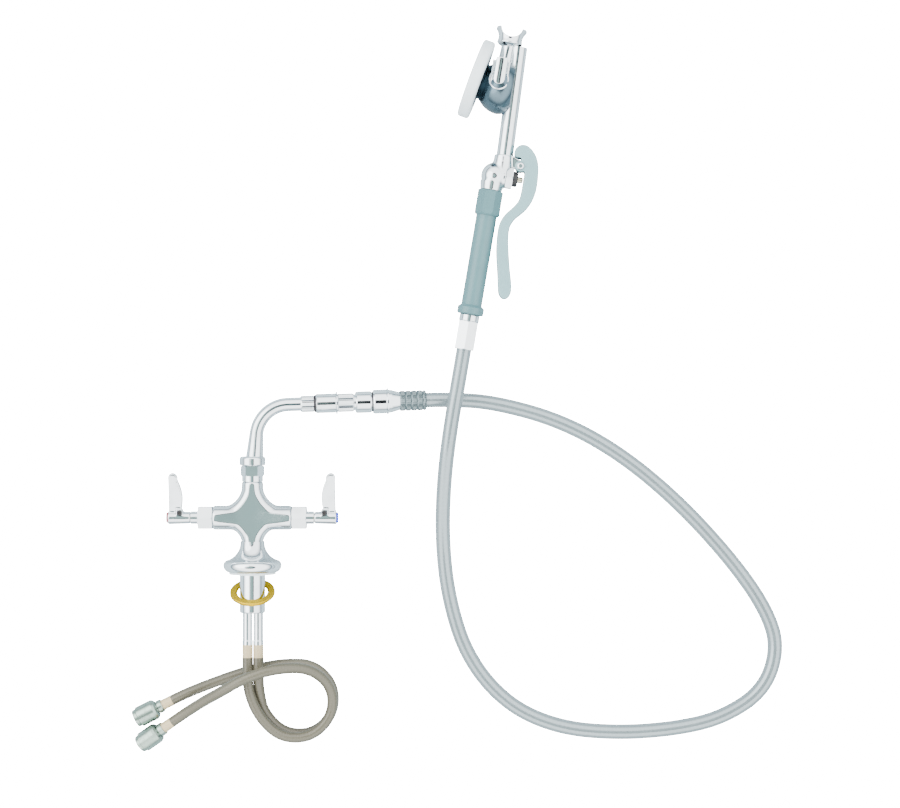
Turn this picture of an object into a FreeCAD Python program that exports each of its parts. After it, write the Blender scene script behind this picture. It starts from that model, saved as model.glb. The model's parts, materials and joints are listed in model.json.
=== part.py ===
# Deck-mounted mixing faucet with a flexible hose and a pet-grooming hand sprayer, laid flat on a table.
#
# Millimetres. The XY plane is parallel to the table, +Z points up from it.
# The origin is the centre of the deck seat, on the axis of the threaded shank:
# the shank runs along -Y, the faucet body along +Y, and the spout swings out along +X.
import FreeCAD, Part
import math
import os

V = FreeCAD.Vector
X_AXIS = V(1, 0, 0)
Y_AXIS = V(0, 1, 0)
Z_AXIS = V(0, 0, 1)

# ---------------------------------------------------------------- driving dimensions
running_gap = 0.06        # radial clearance of a shaft in its bore
body_gap = 0.35           # air between two pieces that move past each other

flange_radius = 32.0      # deck flange, which is also what the faucet lies on
table_z = -flange_radius  # height of the table in this frame
gasket_thickness = 2.0
flange_height = 36.0
shank_radius = 14.0
shank_length = 42.4
shank_bore_radius = 12.3

body_centre_y = 62.0      # height of the two stems above the deck
arm_radius = 13.5         # the two side arms of the casting
arm_reach = 43.5          # from the shank axis to each bonnet
leg_radius = 12.0         # the leg below and the throat above
throat_top_y = 101.8
water_way_radius = 8.0
shank_bore_top_y = 6.0

bonnet_length = 16.1
bonnet_across_flats = 24.0
stem_radius = 4.2
guard_radius = 7.0        # smooth sleeve between bonnet and handle
guard_length = 8.0
hub_radius = 7.5
hub_length = 24.5
button_radius = 6.2
button_thickness = 2.0
screw_boss_height = 7.2   # flat-topped boss of the handle's clamping screw
lever_height = 50.3       # from the stem axis to the tip of a handle
lever_thickness = 6.0
lever_lift = 13.0         # degrees that each blade stands up from the table

washer_tilt = 30.0        # the loose brass washer leans on the shank
washer_bore = 1.3 * shank_radius
washer_radius = washer_bore + 6.5
washer_thickness = 3.6
washer_y = -20.0

spout_nut_across_flats = 22.8
spout_collar_radius = 14.3
spout_collar_y = 119.6
spout_base_radius = 9.7
spout_tube_radius = 7.6
spout_wall = 1.4
spout_bend_radius = 36.0
arm_start_x = 39.0
arm_start_y = 186.5
arm_rise = 1.8            # degrees that the arm climbs away from the body
ferrule_start = 123.3     # measured along the arm
ferrule_length = 29.3
ferrule_radius = 11.25

hose_radius = 8.25        # main hose
supply_radius = 5.6       # the two supply lines
supply_left_x = -5.4
supply_right_x = 6.4

handset_x = 239.0         # origin of the hand sprayer's own frame, on the axis of the grip
handset_y = 284.9
handset_turn = -9.6       # degrees that the wand leans away from +Y
bumper_radius = 44.0      # the spray head stands on this ring
grip_radius = 11.4
grip_top_y = 110.0        # the valve, neck and head stand on the top of the grip
grip_length = 110.0
grip_flange_radius = 14.6
collar_across = 27.6
collar_length = 27.0
neck_radius = 9.2
head_y = 255.2            # spray head centre, measured along the wand
head_x = -36.0
head_turn = 11.0          # degrees that the spray face leans from the wand
lever_travel = 2.4        # degrees of squeeze
pin_x = 27.5
pin_y = 168.4
plunger_y = 154.0
plunger_tip_x = 32.6


# ---------------------------------------------------------------- shape helpers
def turned(outline, origin=V(0, 0, 0), along=Y_AXIS, bore=0.0):
    """Solid of revolution. outline holds (station, radius) pairs; three-value entries are arc mid-points."""
    points = [V(r, s, 0) for s, r in [p[:2] for p in outline]]
    edges = []
    index = 0
    while index < len(outline) - 1:
        if len(outline[index + 1]) == 3:
            edges.append(Part.Arc(points[index], points[index + 1], points[index + 2]).toShape())
            index += 2
        else:
            edges.append(Part.LineSegment(points[index], points[index + 1]).toShape())
            index += 1
    first = points[0]
    last = points[-1]
    foot = V(bore, first.y, 0)
    top = V(bore, last.y, 0)
    if (last - top).Length > 1e-6:
        edges.append(Part.LineSegment(last, top).toShape())
    edges.append(Part.LineSegment(top, foot).toShape())
    if (foot - first).Length > 1e-6:
        edges.append(Part.LineSegment(foot, first).toShape())
    face = Part.Face(Part.Wire(edges))
    solid = face.revolve(V(0, 0, 0), Y_AXIS, 360)
    turn = FreeCAD.Rotation(Y_AXIS, along)
    solid.Placement = FreeCAD.Placement(origin, turn)
    return clean(solid)


def clean(shape):
    """The shape as one plain solid, or as a compound of them, with its placement worked in."""
    solids = [Part.Solid(s) if s.ShapeType == "Shell" else s for s in shape.Solids]
    for solid in solids:
        if solid.Volume < 0:
            solid.reverse()
    return solids[0] if len(solids) == 1 else Part.makeCompound(solids)


def rod(radius, start, end):
    """Round bar from start to end."""
    direction = end - start
    return Part.makeCylinder(radius, direction.Length, start, direction)


def prism(sides, across_flats, length, origin, along, spin=0.0):
    """Regular prism, such as a hexagon nut, along a direction."""
    corner = across_flats / 2 / math.cos(math.pi / sides)
    angles = [math.radians(spin) + 2 * math.pi * i / sides for i in range(sides + 1)]
    wire = Part.makePolygon([V(corner * math.cos(a), corner * math.sin(a), 0) for a in angles])
    solid = Part.Face(wire).extrude(V(0, 0, length))
    solid.Placement = FreeCAD.Placement(origin, FreeCAD.Rotation(Z_AXIS, along))
    return solid


def nut(across_flats, length, origin, along, bore, chamfer=1.6, spin=30.0):
    """Hexagon nut with both ends turned to a chamfer."""
    corner = across_flats / 2 / math.cos(math.pi / 6)
    blank = prism(6, across_flats, length, origin, along, spin)
    low = corner - chamfer
    barrel = turned([(0, low), (chamfer * 0.6, corner), (length - chamfer * 0.6, corner), (length, low)],
                    origin, along)
    solid = blank.common(barrel)
    if bore:
        solid = solid.cut(rod(bore, origin - along * 1.0, origin + along * (length + 1.0)))
    return clean(solid)


def extruded(edges, z_low, z_high):
    """Closed outline in the XY plane, extruded between two heights."""
    face = Part.Face(Part.Wire(edges))
    solid = face.extrude(V(0, 0, z_high - z_low))
    solid.translate(V(0, 0, z_low))
    return solid


def smooth_outline(points):
    """Closed smooth curve through the points."""
    curve = Part.BSplineCurve()
    curve.interpolate([V(x, y, 0) for x, y in points], PeriodicFlag=True)
    return [curve.toShape()]


def hose_tube(name, points, radius):
    """Tube along straight runs joined by tangent arcs; prints its radii, length and volume."""
    runs = [(b - a).Length for a, b in zip(points, points[1:])]
    edges = []
    start = points[0]
    radii = []
    for i in range(1, len(points) - 1):
        back = (points[i - 1] - points[i]).normalize()
        ahead = (points[i + 1] - points[i]).normalize()
        half_turn = (math.pi - back.getAngle(ahead)) / 2
        reach = 0.45 * min(runs[i - 1], runs[i])
        bisector = (back + ahead).normalize()
        arc_radius = reach / math.tan(half_turn)
        radii.append(arc_radius)
        drop = arc_radius / math.cos(half_turn) - arc_radius
        arc_start = points[i] + back * reach
        arc_end = points[i] + ahead * reach
        edges.append(Part.LineSegment(start, arc_start).toShape())
        edges.append(Part.Arc(arc_start, points[i] + bisector * drop, arc_end).toShape())
        start = arc_end
    edges.append(Part.LineSegment(start, points[-1]).toShape())
    wire = Part.Wire(edges)
    direction = (points[1] - points[0]).normalize()
    section = Part.Wire([Part.Circle(points[0], direction, radius).toShape()])
    tube = wire.makePipeShell([section], True, False)
    expected = wire.Length * math.pi * radius ** 2
    print(f"{name}: length {wire.Length:.1f}, volume ratio {tube.Volume / expected:.4f}, "
          f"least radius {min(radii):.1f}, radii {[round(r) for r in radii]}")
    return clean(tube)


parts = {}


def keep(name, *shapes):
    """Store a node; several shapes make a group of separate solids."""
    parts[name] = shapes[0] if len(shapes) == 1 else Part.makeCompound(list(shapes))


# ---------------------------------------------------------------- faucet body
leg_foot_y = gasket_thickness + 12.0
body_centre = V(0, body_centre_y, 0)


def elbow(side, up, centreline_radius, tube_radius):
    """Quarter bend between a side arm and the leg or throat: the casting's concave corners."""
    centre = V(side * centreline_radius, body_centre_y + up * centreline_radius, 0)
    ring = Part.makeTorus(centreline_radius, tube_radius, centre, Z_AXIS)
    corner = V(min(0, side * centreline_radius), min(0, up * centreline_radius) + body_centre_y, -20)
    reach = centreline_radius
    window = Part.makeBox(reach, reach, 40, corner)
    return ring.common(window)


casting = rod(arm_radius, V(-arm_reach, body_centre_y, 0), V(arm_reach, body_centre_y, 0))
casting = casting.fuse(rod(leg_radius, V(0, leg_foot_y, 0), V(0, throat_top_y, 0)))
for side in (-1, 1):
    casting = casting.fuse(elbow(side, 1, 36.5, leg_radius - 0.5))
    casting = casting.fuse(elbow(side, -1, 30.0, leg_radius - 0.5))
stem_bore = rod(stem_radius + 2.0, V(-arm_reach - 1, body_centre_y, 0), V(arm_reach + 1, body_centre_y, 0))
water_way = rod(water_way_radius, V(0, leg_foot_y - 1, 0), V(0, throat_top_y + 1, 0))
keep("faucet_body", clean(casting.cut(stem_bore).cut(water_way)))

flange_outline = [
    (gasket_thickness, flange_radius - 6.0),
    (gasket_thickness + 2.8, flange_radius - 1.6, "arc"),
    (gasket_thickness + 8.0, flange_radius),
    (gasket_thickness + 11.0, flange_radius - 1.0, "arc"),
    (gasket_thickness + 13.0, flange_radius - 3.5),
    (flange_height * 0.62, leg_radius + 5.6, "arc"),
    (flange_height, leg_radius + 1.2),
]
flange = turned(flange_outline, bore=shank_radius + 0.1)
flange_skirt = flange.cut(rod(flange_radius + 5, V(0, leg_foot_y, 0), V(0, flange_height + 1, 0)))
flange_cap = turned(flange_outline, bore=leg_radius + 0.05)
flange_cap = flange_cap.cut(rod(flange_radius + 5, V(0, -1, 0), V(0, leg_foot_y, 0)))
keep("deck_flange", clean(flange_skirt.fuse(flange_cap).removeSplitter()))
gasket_radius = flange_radius - 6.4
keep("deck_gasket", turned([(0, gasket_radius), (gasket_thickness, gasket_radius)], bore=shank_radius + 0.1))

shank = turned([(-shank_length, shank_radius - 0.8), (-shank_length + 1.2, shank_radius),
                (leg_foot_y - 0.1, shank_radius)])
shank_spigot = rod(water_way_radius - 0.05, V(0, leg_foot_y - 0.2, 0), V(0, leg_foot_y + 16, 0))
shank_bore = rod(shank_bore_radius, V(0, -shank_length - 1, 0), V(0, shank_bore_top_y, 0))
keep("threaded_shank", clean(shank.fuse(shank_spigot).cut(shank_bore)))

washer_lean = FreeCAD.Rotation(X_AXIS, washer_tilt)
washer_axis = washer_lean.multVec(Y_AXIS)
washer_centre = V(0, washer_y, 0)
half = washer_thickness / 2
washer = turned([(-half, washer_radius - 0.8), (-half + 0.8, washer_radius), (half - 0.8, washer_radius),
                 (half, washer_radius - 0.8)], washer_centre, washer_axis, bore=washer_bore)
keep("brass_washer", washer)

# ---------------------------------------------------------------- handles and their valves
bonnet_start = arm_reach
bonnet_end = bonnet_start + bonnet_length
guard_end = bonnet_end + guard_length
hub_start = guard_end + body_gap
hub_end = hub_start + hub_length


def handle_blade(side):
    """Handle blade: straight outer edge, inner edge that narrows to a rounded tip, lifted off the table."""
    inner = hub_end - 15.6
    outer = hub_end + 0.2
    top = body_centre_y + lever_height
    p = [V(side * x, y, 0) for x, y in (
        (inner, body_centre_y + 2), (outer - 1.0, body_centre_y + 2), (outer - 1.2, top - 6),
        (outer - 4.6, top), (outer - 9.8, top - 7), (inner + 1.9, body_centre_y + 22))]
    outline = [
        Part.LineSegment(p[0], p[1]).toShape(),
        Part.LineSegment(p[1], p[2]).toShape(),
        Part.Arc(p[2], p[3], p[4]).toShape(),
        Part.Arc(p[4], p[5], p[0]).toShape(),
    ]
    blade = extruded(outline, -lever_thickness / 2, lever_thickness / 2)
    blade.rotate(body_centre, X_AXIS, lever_lift)
    return blade


for name, side in (("hot", -1), ("cold", 1)):
    out = V(side, 0, 0)
    seat = body_centre + out * bonnet_start
    bonnet = nut(bonnet_across_flats, bonnet_length, seat, out, 0, spin=0)
    guard = rod(guard_radius, body_centre + out * (bonnet_end - 0.5), body_centre + out * guard_end)
    cartridge = rod(stem_radius + 1.9, seat - out * 20, seat + out * 0.5)
    stem_hole = rod(stem_radius + running_gap, seat - out * 16, body_centre + out * (guard_end + 1))
    keep(name + "_bonnet", clean(bonnet.fuse([guard, cartridge]).cut(stem_hole)))
    stem = rod(stem_radius, body_centre + out * (arm_reach - 15), body_centre + out * (hub_start + 10))
    keep(name + "_stem", stem)
    hub = turned([(0, hub_radius - 0.9), (hub_length, hub_radius)],
                 body_centre + out * hub_start, out)
    boss_from, boss_to = sorted((side * (hub_end - 16.5), side * (hub_end - 9.0)))
    boss = Part.makeBox(boss_to - boss_from, 7.0, screw_boss_height, V(boss_from, body_centre_y + 2.5, 0))
    handle = hub.fuse([handle_blade(side), boss])
    hub_foot = body_centre + out * hub_start
    hub_top = body_centre + out * hub_end
    handle = handle.cut(rod(stem_radius, hub_foot - out, hub_foot + out * 10))
    handle = handle.cut(rod(button_radius - 0.9, hub_top - out * 2, hub_top + out))
    keep(name + "_handle", clean(handle))
    keep(name + "_index_button", turned(
        [(-2.0, button_radius - 0.95), (0.0, button_radius - 0.95), (0.0, button_radius),
         (button_thickness, button_radius - 0.8)], body_centre + out * hub_end, out))

# ---------------------------------------------------------------- spout and the fittings on its arm
packing_height = 6.0
keep("packing_ring", turned([(0, leg_radius - 0.4), (packing_height, leg_radius - 0.4)], V(0, throat_top_y, 0),
                            bore=water_way_radius))
nut_start = throat_top_y + packing_height
nut_length = spout_collar_y - body_gap - nut_start
keep("spout_nut", nut(spout_nut_across_flats, nut_length, V(0, nut_start, 0), Y_AXIS, water_way_radius, spin=0))

arm_direction = V(math.cos(math.radians(arm_rise)), math.sin(math.radians(arm_rise)), 0)
arm_left_normal = V(-arm_direction.y, arm_direction.x, 0)
arm_start = V(arm_start_x, arm_start_y, 0)
collar_top_y = spout_collar_y + 9.8
spout_foot = V(0, collar_top_y, 0)
lean_direction = V(1.6, 21.0, 0).normalize()
bend_centre = arm_start - arm_left_normal * spout_bend_radius
left_normal = V(-lean_direction.y, lean_direction.x, 0)
bend_start = bend_centre + left_normal * spout_bend_radius
middle_normal = (left_normal + (arm_start - bend_centre).normalize()).normalize()
bend_middle = bend_centre + middle_normal * spout_bend_radius
coupling_length = 15.3
coupling_start = 13.8
tube_end = arm_start + arm_direction * (coupling_start + 3.0)


def bent_tube(radius, start, end):
    """Round tube up from the base, round the bend and along the arm."""
    path = Part.Wire([
        Part.LineSegment(start, bend_start).toShape(),
        Part.Arc(bend_start, bend_middle, arm_start).toShape(),
        Part.LineSegment(arm_start, end).toShape(),
    ])
    section = Part.Wire([Part.Circle(start, (bend_start - start).normalize(), radius).toShape()])
    return path.makePipeShell([section], True, False)


tube_start = bend_start - lean_direction * (bend_start - spout_foot).Length
tube_outer = bent_tube(spout_tube_radius, tube_start, tube_end)
taper_axis = (bend_start - tube_start).normalize()
taper = Part.makeCone(spout_base_radius, spout_tube_radius, 29.0, tube_start - taper_axis * 2.0, taper_axis)
collar = turned([(0, spout_collar_radius - 0.8), (0.8, spout_collar_radius), (7.4, spout_collar_radius),
                 (9.2, spout_collar_radius - 1.2, "arc"), (9.8, spout_collar_radius - 3.0)], V(0, spout_collar_y, 0))
spout_spigot = rod(water_way_radius - running_gap, V(0, throat_top_y - 14, 0), V(0, spout_collar_y + 1, 0))
bore = bent_tube(spout_tube_radius - spout_wall, tube_start, tube_end + arm_direction)
inlet = rod(5.5, V(0, throat_top_y - 15, 0), V(tube_start.x, collar_top_y + 2, 0))
spout = tube_outer.fuse([taper, collar, spout_spigot]).cut(bore).cut(inlet)
swing = math.degrees(math.asin((flange_radius - ferrule_radius)
                               / (arm_start_x + (ferrule_start + ferrule_length) * math.cos(math.radians(arm_rise)))))
swing_placement = FreeCAD.Placement(V(0, 0, 0), FreeCAD.Rotation(Y_AXIS, swing))


def swung(shape):
    """Moves a piece of the arm with the spout, down until the last ferrule lies on the table."""
    moved = shape.copy()
    moved.Placement = swing_placement.multiply(moved.Placement)
    return moved


keep("spout", swung(clean(spout)))

fitting_bore = spout_tube_radius - spout_wall
arm_fittings = (
    # name, start, end, outline of (share of the length, radius)
    ("arm_coupling", 13.8, 29.1, ((0, 8.6), (0.1, 9.1), (0.9, 9.1), (1, 8.6))),
    ("coupling_seal", 29.1, 30.6, ((0, 9.6), (1, 9.6))),
    ("vacuum_breaker", 30.6, 53.0, ((0, 10.0), (0.04, 10.7), (0.96, 10.7), (1, 10.2))),
    ("breaker_washer", 53.0, 54.2, ((0, 12.5), (1, 12.5))),
    ("knurled_ring", 54.2, 72.6, ((0, 9.4), (0.06, 10.2), (0.94, 10.2), (1, 9.4))),
    ("check_spigot", 72.6, 74.4, ((0, 9.0), (1, 9.0))),
    ("quick_sleeve", 74.4, 92.0, ((0, 11.0), (0.08, 12.0), (0.92, 12.0), (1, 11.4))),
    ("sleeve_seal", 92.0, 93.8, ((0, 10.8), (1, 10.8))),
    ("swivel_body", 93.8, 109.4, ((0, 12.6), (0.1, 13.4), (0.9, 13.4), (1, 13.0))),
    ("swivel_washer", 109.4, 110.6, ((0, 14.6), (1, 14.6))),
    ("hose_adapter", 110.6, ferrule_start, ((0, 13.0), (0.3, 12.6), (1, 10.0))),
)
for name, start, end, shares in arm_fittings:
    length = end - start
    outline = [(share * length, radius) for share, radius in shares]
    bore_radius = spout_tube_radius + 0.02 if name == "arm_coupling" else fitting_bore
    ring = turned(outline, arm_start + arm_direction * start, arm_direction, bore=bore_radius)
    if name == "arm_coupling":
        stop = turned([(3.0, 8.0), (length, 8.0)], arm_start + arm_direction * start, arm_direction, bore=fitting_bore)
        ring = ring.fuse(stop)
    keep(name, swung(clean(ring)))

ferrule_origin = arm_start + arm_direction * ferrule_start
crimp = turned([(0, ferrule_radius - 1.0), (1.2, ferrule_radius), (ferrule_length - 1.2, ferrule_radius),
                (ferrule_length, ferrule_radius - 0.8)], ferrule_origin, arm_direction)
crimp = crimp.cut(rod(fitting_bore, ferrule_origin - arm_direction, ferrule_origin + arm_direction * (ferrule_length - 1)))
keep("hose_ferrule", swung(clean(crimp)))

# ---------------------------------------------------------------- hand sprayer
# Its own frame: +Y runs up the wand, +X towards the trigger.
handset_placement = FreeCAD.Placement(
    V(handset_x, handset_y, table_z + bumper_radius), FreeCAD.Rotation(Z_AXIS, handset_turn))


def held(shape):
    """Moves a piece of the sprayer from its own frame to where it lies."""
    moved = shape.copy()
    moved.Placement = handset_placement.multiply(moved.Placement)
    return moved


hose_nut_length = 30.8
hose_collar_length = 7.5
grip_foot_y = grip_top_y - grip_length
swivel_foot_y = grip_foot_y - hose_collar_length - body_gap
hose_end_y = swivel_foot_y - hose_nut_length
keep("hose_nut", held(nut(21.0, hose_nut_length, V(0, hose_end_y, 0), Y_AXIS, 0, chamfer=1.4)))
swivel_spigot = rod(6.0, V(0, swivel_foot_y - 0.5, 0), V(0, grip_foot_y + 12, 0))
swivel_collar = turned([(0, 10.4), (0.8, 11.0), (hose_collar_length - 0.8, 11.0), (hose_collar_length, 10.4)],
                       V(0, swivel_foot_y, 0))
keep("swivel_tail", held(clean(swivel_collar.fuse(swivel_spigot).cut(
    rod(11.5, V(0, hose_end_y, 0), V(0, swivel_foot_y, 0))))))

grip = turned([(0, grip_flange_radius - 1.2), (1.2, grip_flange_radius), (7.6, grip_flange_radius),
               (8.6, grip_flange_radius - 1.0, "arc"), (9.6, grip_radius + 0.9),
               (10.6, grip_radius), (grip_length, grip_radius)], V(0, grip_foot_y, 0))
grip = grip.cut(rod(6.0 + running_gap, V(0, grip_foot_y - 1, 0), V(0, grip_foot_y + 12.5, 0)))
grip = grip.cut(rod(6.6, V(0, grip_foot_y + 12, 0), V(0, grip_top_y + 1, 0)))
keep("grip_sleeve", held(clean(grip)))
collar_blank = prism(8, collar_across, collar_length, V(0, grip_top_y, 0), Y_AXIS, 22.5)
collar_corner = collar_across / 2 / math.cos(math.pi / 8)
collar_turning = turned([(0, collar_corner - 2.2), (2.5, collar_corner), (collar_length - 1.0, collar_corner),
                         (collar_length, collar_corner - 1.2)], V(0, grip_top_y, 0))
valve_foot_y = grip_top_y + collar_length
collar_bore = rod(6.6, V(0, grip_top_y - 1, 0), V(0, valve_foot_y + 1, 0))
keep("grip_collar", held(clean(collar_blank.common(collar_turning).cut(collar_bore))))

keep("water_tube", held(clean(rod(6.5, V(0, grip_foot_y + 13, 0), V(0, valve_foot_y, 0)).cut(
    rod(4.8, V(0, grip_foot_y + 12, 0), V(0, valve_foot_y + 1, 0))))))

neck_start = V(9.0, 168.0, 0)
neck_end = V(4.4, 297.0, 0)
neck_direction = (neck_end - neck_start).normalize()
dome_centre = V(1.5, plunger_y, 0)
chamber_end_x = -8.4
dome_radius = 15.0
valve = turned([(-dome_radius, 0.0), (-dome_radius * 0.7071, dome_radius * 0.7071, "arc"), (0.0, dome_radius),
                (dome_radius * 0.7071, dome_radius * 0.7071, "arc"), (13.0, 7.483)], dome_centre, X_AXIS)
valve = valve.fuse(turned([(0, 11.8), (10, 13.4)], V(0, valve_foot_y, 0)))
valve = valve.fuse(Part.makeCone(12.4, neck_radius + 1.2, 20.0, V(8.6, 158.0, 0), neck_direction))
valve = valve.fuse(rod(12.0, V(4, plunger_y, 0), V(14, plunger_y, 0)))
ear = extruded([Part.Circle(V(pin_x, pin_y, 0), Z_AXIS, 6.2).toShape()], -6.4, 6.4)
web = Part.Face(Part.makePolygon([V(8, 160, 0), V(27, 162.3, 0), V(33.4, 168.0, 0), V(27.5, 174.6, 0),
                                  V(12, 181, 0), V(8, 160, 0)])).extrude(V(0, 0, 12.8))
web.translate(V(0, 0, -6.4))
valve = valve.fuse([ear, web])
bonnet_end_x = 21.5
gland_end_x = 27.0
valve = valve.cut(rod(12.9, V(14, plunger_y, 0), V(45, plunger_y, 0)))
valve = valve.cut(rod(7.2, V(chamber_end_x, plunger_y, 0), V(20, plunger_y, 0)))
valve = valve.cut(rod(4.8, V(0, valve_foot_y - 1, 0), V(0, plunger_y, 0)))
valve = valve.cut(rod(2.5 + running_gap / 2, V(pin_x, pin_y, -20), V(pin_x, pin_y, 20)))
valve = valve.cut(rod(neck_radius, neck_start + neck_direction * 9, neck_start + neck_direction * 60))
keep("valve_body", held(clean(valve)))

bonnet_nut = nut(22.0, bonnet_end_x - 14.0, V(14.0, plunger_y, 0), X_AXIS, 7.2, chamfer=1.2, spin=0)
keep("valve_bonnet", held(bonnet_nut))
plunger_radius = 3.4
gland = turned([(0, 7.1), (bonnet_end_x - 14.0, 7.1), (bonnet_end_x - 14.0, 8.4), (gland_end_x - 15.0, 8.4),
                (gland_end_x - 14.0, 7.4)], V(14.0, plunger_y, 0), X_AXIS, bore=plunger_radius + running_gap)
keep("valve_gland", held(gland))
plunger_stem = rod(plunger_radius, V(8.5, plunger_y, 0), V(plunger_tip_x - 1.2, plunger_y, 0))
plunger_tip = turned([(0, plunger_radius), (1.0, 2.4, "arc"), (1.2, 1.6)],
                     V(plunger_tip_x - 1.2, plunger_y, 0), X_AXIS)
valve_disc = turned([(0, 6.2), (2.6, 6.2)], V(5.9, plunger_y, 0), X_AXIS)
keep("valve_plunger", held(clean(plunger_stem.fuse([plunger_tip, valve_disc]))))

spring_wire_radius = 0.7
spring_coils = 5
spring_length = 11.0
coil = Part.makeHelix(spring_length / spring_coils, spring_length, 4.8)
coil_section = Part.Wire([Part.Circle(V(4.8, 0, 0), Y_AXIS, spring_wire_radius).toShape()])
spring = Part.Wire(coil.Edges).makePipeShell([coil_section], True, True)
spring.Placement = FreeCAD.Placement(V(chamber_end_x + 2.2, plunger_y, 0), FreeCAD.Rotation(Z_AXIS, X_AXIS))
keep("valve_spring", held(clean(spring)))

keep("neck_tube", held(clean(rod(neck_radius, neck_start + neck_direction * 9.0, neck_end).cut(
    rod(neck_radius - 1.8, neck_start, neck_end + neck_direction)))))

# Spray head: everything round about the axis of the spray face
face_normal = V(-math.cos(math.radians(head_turn)), math.sin(math.radians(head_turn)), 0)
head_centre = V(head_x, head_y, 0)
inward = face_normal * -1
neck_keepout = rod(neck_radius + 0.02, neck_start, neck_end + neck_direction * 20)
housing_outline = [(1.0, 29.4), (6.0, 29.4), (8.0, 19.0), (12.0, 21.6), (19.0, 26.2, "arc"), (28.0, 28.4),
                   (38.0, 26.6, "arc"), (44.0, 21.0)]
head_envelope = turned(housing_outline, head_centre, inward)
housing = head_envelope.cut(neck_keepout)
housing = housing.cut(Part.makeBox(60, 90, 80, V(neck_end.x, 210, -40)))
housing = housing.cut(Part.makeSphere(15.5, head_centre + inward * 22))
housing = housing.cut(rod(13.0, head_centre, head_centre + inward * 20))
housing = housing.cut(turned([(0.0, 25.5), (4.0, 25.5)], head_centre, inward))
keep("spray_housing", held(clean(housing)))

bumper_half = 6.6
bumper = turned([(-bumper_half, 33.5), (-bumper_half, bumper_radius - 3.2),
                 (-bumper_half + 1.0, bumper_radius - 0.9, "arc"), (-bumper_half + 3.2, bumper_radius),
                 (bumper_half - 3.2, bumper_radius), (bumper_half - 1.0, bumper_radius - 0.9, "arc"),
                 (bumper_half, bumper_radius - 3.2), (bumper_half, 29.6)],
                head_centre, inward, bore=29.6)
keep("bumper_ring", held(bumper))

plate = turned([(-4.4, 29.4), (-1.6, 29.4)], head_centre, inward, bore=4.4)
spray_holes = []
hole_radius = 1.1
for ring_radius, count in ((8.5, 8), (14.0, 14), (19.5, 20), (25.0, 26)):
    for i in range(count):
        angle = 2 * math.pi * i / count
        across = V(face_normal.y, -face_normal.x, 0)
        spot = head_centre + across * (ring_radius * math.cos(angle)) + Z_AXIS * (ring_radius * math.sin(angle))
        spray_holes.append(rod(hole_radius, spot + face_normal * 6, spot + inward * 1))
keep("spray_plate", held(clean(plate.cut(Part.makeCompound(spray_holes)))))
keep("plate_screw", held(clean(turned([(-7.0, 4.2), (-5.2, 7.0, "arc"), (-4.4, 7.4)], head_centre, inward).fuse(
    rod(4.35, head_centre + face_normal * 4.5, head_centre + inward * 1.0)))))

# Crown at the top of the neck and the U-shaped bosses on both sides of the housing
crown_centre = V(-6.6, 296.4, 0)
crown_length = 19.8
crown = turned([(0, 11.0), (3.0, 14.2), (9.5, 13.4, "arc"), (16.6, 16.9), (crown_length, 16.7)],
               crown_centre, Y_AXIS)
crown = crown.cut(turned([(9.0, 5.0), (13.0, 10.5, "arc"), (crown_length + 1.2, 13.2)], crown_centre, Y_AXIS))
bridge = rod(8.2, V(-8.0, 276.0, 0), crown_centre + V(0, 4, 0))
crown = crown.fuse(bridge).cut(rod(neck_radius + 0.02, neck_start, neck_end))
saddle = rod(11.6, crown_centre + V(0, crown_length + 1.4, -30), crown_centre + V(0, crown_length + 1.4, 30))
bumper_keepout = rod(bumper_radius + body_gap, head_centre - inward * (bumper_half + body_gap),
                     head_centre + inward * (bumper_half + body_gap))
keep("hanging_crown", held(clean(crown.cut([head_envelope, saddle, bumper_keepout]))))

boss_x = -11.6
boss_foot_y = 254.6
boss_top_y = 279.0
bosses = []
for low, high in ((10.0, 31.0), (-31.0, -10.0)):
    outer = rod(11.4, V(boss_x, boss_foot_y, low), V(boss_x, boss_foot_y, high))
    outer = outer.fuse(Part.makeBox(19.4, 21.0, high - low, V(boss_x - 9.7, boss_foot_y, low)))
    groove_low, groove_high = (high - 5.0, high + 1) if high > 0 else (low - 1, low + 5.0)
    groove = rod(9.6, V(boss_x, boss_foot_y, groove_low), V(boss_x, boss_foot_y, groove_high))
    groove = groove.fuse(Part.makeBox(16.0, 30.0, groove_high - groove_low, V(boss_x - 8.0, boss_foot_y, groove_low)))
    tongue = rod(6.4, V(boss_x, boss_foot_y + 1.2, low), V(boss_x, boss_foot_y + 1.2, high))
    tongue = tongue.fuse(Part.makeBox(12.8, 23.0, high - low, V(boss_x - 6.4, boss_foot_y + 1.2, low)))
    boss = outer.cut(groove).fuse(tongue)
    bosses.append(held(clean(boss.cut([head_envelope, neck_keepout]))))
keep("side_bosses", *bosses)

# Trigger lever: a thick curved blade on a pin through the ear of the valve body
lever_half_width = 10.4
trigger_outline = smooth_outline([
    (19.6, 178.0), (19.2, 187.0), (26.0, 192.4), (38.0, 187.6), (46.0, 175.0), (48.8, 158.0), (48.8, 143.0),
    (45.4, 130.0), (38.0, 118.4), (30.6, 109.8), (27.4, 101.0), (27.8, 88.0), (31.4, 70.0), (36.2, 51.0),
    (40.2, 34.0), (38.6, 25.4), (33.2, 22.4), (28.0, 25.8), (24.6, 36.0), (20.6, 55.0), (16.4, 75.0),
    (14.9, 90.0), (15.0, 102.0), (18.4, 112.0), (25.6, 121.6), (31.4, 131.0), (33.0, 142.0), (33.0, 156.0),
    (32.8, 164.0), (31.0, 172.0), (27.0, 177.6)])
trigger = extruded(trigger_outline, -lever_half_width, lever_half_width)
lug = rod(6.4, V(pin_x, pin_y, -lever_half_width), V(pin_x, pin_y, lever_half_width))
lug_web = Part.makeBox(10.0, 12.0, 2 * lever_half_width, V(pin_x, pin_y - 4.0, -lever_half_width))
trigger = trigger.fuse([lug, lug_web])
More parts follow.
